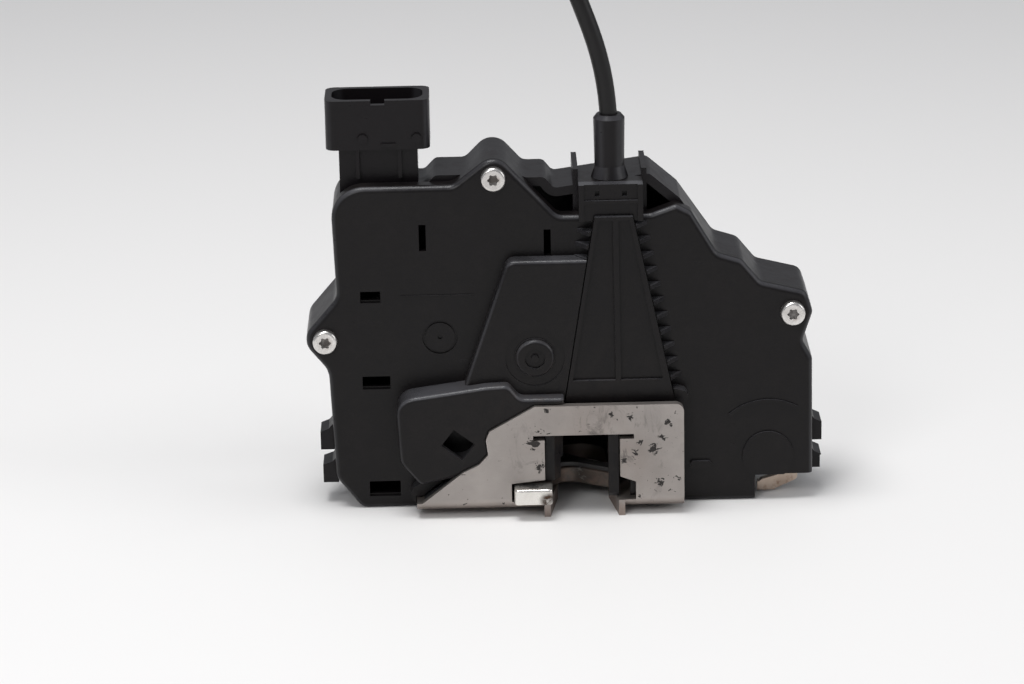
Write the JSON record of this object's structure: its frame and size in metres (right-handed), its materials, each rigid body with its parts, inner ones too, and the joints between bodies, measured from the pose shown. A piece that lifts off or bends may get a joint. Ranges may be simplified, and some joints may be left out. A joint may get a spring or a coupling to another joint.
{
  "type": "door latch actuator",
  "caption": "Power side-door latch: steel fishmouth face plate with sprung claw and pawl, moulded housing with lock motor, connector and inside-handle cable.",
  "frame": {"origin": "centre line of the seated striker in the outer face of the face plate", "axes": "+X across the face plate, +Y away from the mouth the striker enters, +Z out of the plate up the housing"},
  "size_m": [0.1746, 0.0563, 0.2237],
  "materials": {
    "moulded_black": "fine moulded texture",
    "housing_black": "smooth satin",
    "zinc_steel": "zinc plated, satin",
    "claw_steel": "polished where the striker runs",
    "hard_steel": "phosphated",
    "spring_steel": "drawn wire",
    "screw_steel": "bright zinc",
    "rubber_black": "matt",
    "sheath_black": "satin",
    "jacket_plastic": "matt",
    "gear_plastic": "natural",
    "motor_can": "nickel plated",
    "terminal_metal": "tin plated",
    "carrier_plastic": "matt"
  },
  "bodies": {
    "housing": {"face_plate": "zinc_steel", "fixing_collars": "zinc_steel", "latch_block": "moulded_black", "claw_pin": "hard_steel", "claw_spring": "spring_steel", "pawl_pin": "hard_steel", "pawl_spring": "spring_steel", "bridge_plate": "zinc_steel", "striker_bumper": "rubber_black", "rear_housing": "housing_black", "front_cover": "moulded_black", "cable_flap": "moulded_black", "housing_screws": "screw_steel", "lever_pins": "hard_steel", "inside_spring": "spring_steel", "outside_spring": "spring_steel", "lock_motor": "motor_can", "lead_frame": "carrier_plastic", "latch_switch": "carrier_plastic", "connector_socket": "housing_black", "terminal_blades": "terminal_metal", "cable_ferrule": "moulded_black", "cable_sheath": "sheath_black", "sheath_end": "moulded_black"},
    "claw": {"claw": "claw_steel", "claw_jacket": "jacket_plastic"},
    "pawl": {"pawl": "hard_steel"},
    "inside_lever": {"inside_lever": "hard_steel"},
    "outside_lever": {"outside_lever": "zinc_steel"},
    "worm_wheel": {"worm_wheel": "gear_plastic"},
    "lock_lever": {"lock_lever": "gear_plastic"},
    "motor_worm": {"motor_worm": "hard_steel"},
    "wire_latch_end": {"wire_latch_end": "spring_steel"},
    "wire_handle_end": {"wire_handle_end": "spring_steel"}
  },
  "joints": [
    {"name": "claw_turn", "type": "hinge", "parent": "housing", "child": "claw", "pos_m": [-0.018, -0.012, 0.0044], "axis": [0, 0, 1], "range_deg": [0, 78], "stiffness_Nm_per_rad": 0.02},
    {"name": "pawl_turn", "type": "hinge", "parent": "housing", "child": "pawl", "pos_m": [0.015, -0.001, 0.0044], "axis": [0, 0, -1], "range_deg": [0, 22]},
    {"name": "inside_lever_turn", "type": "hinge", "parent": "housing", "child": "inside_lever", "pos_m": [-0.0115, -0.0186, 0.0378], "axis": [0, -1, 0], "range_deg": [0, 20], "stiffness_Nm_per_rad": 0.03},
    {"name": "outside_lever_turn", "type": "hinge", "parent": "housing", "child": "outside_lever", "pos_m": [0.0455, -0.0186, 0.0098], "axis": [0, -1, 0], "range_deg": [0, 12], "stiffness_Nm_per_rad": 0.03},
    {"name": "worm_spin", "type": "hinge", "parent": "housing", "child": "motor_worm", "pos_m": [-0.049, -0.0135, 0.0422], "axis": [0, 0, 1], "range_deg": [0, 1440]},
    {"name": "lock_wheel_turn", "type": "hinge", "parent": "housing", "child": "worm_wheel", "pos_m": [-0.0345, -0.0135, 0.0422], "axis": [0, -1, 0], "range_deg": [0, 60.5]},
    {"name": "lock_lever_turn", "type": "hinge", "parent": "housing", "child": "lock_lever", "pos_m": [-0.0345, -0.0092, 0.0422], "axis": [0, -1, 0], "range_deg": [0, 60.5]},
    {"name": "wire_latch_slide", "type": "slide", "parent": "housing", "child": "wire_latch_end", "axis": [0, 0, 1], "range_m": [0, 0.0067]},
    {"name": "wire_handle_slide", "type": "slide", "parent": "housing", "child": "wire_handle_end", "axis": [0.5886, 0.0556, 0.8065], "range_m": [0, 0.0067]}
  ],
  "couplings": [
    {"joint": "lock_wheel_turn", "follows": "worm_spin", "ratio": 0.041667},
    {"joint": "lock_lever_turn", "follows": "worm_spin", "ratio": 0.041667},
    {"joint": "wire_latch_slide", "follows": "inside_lever_turn", "m_per_rad": 0.0189},
    {"joint": "wire_handle_slide", "follows": "inside_lever_turn", "m_per_rad": 0.0189}
  ]
}
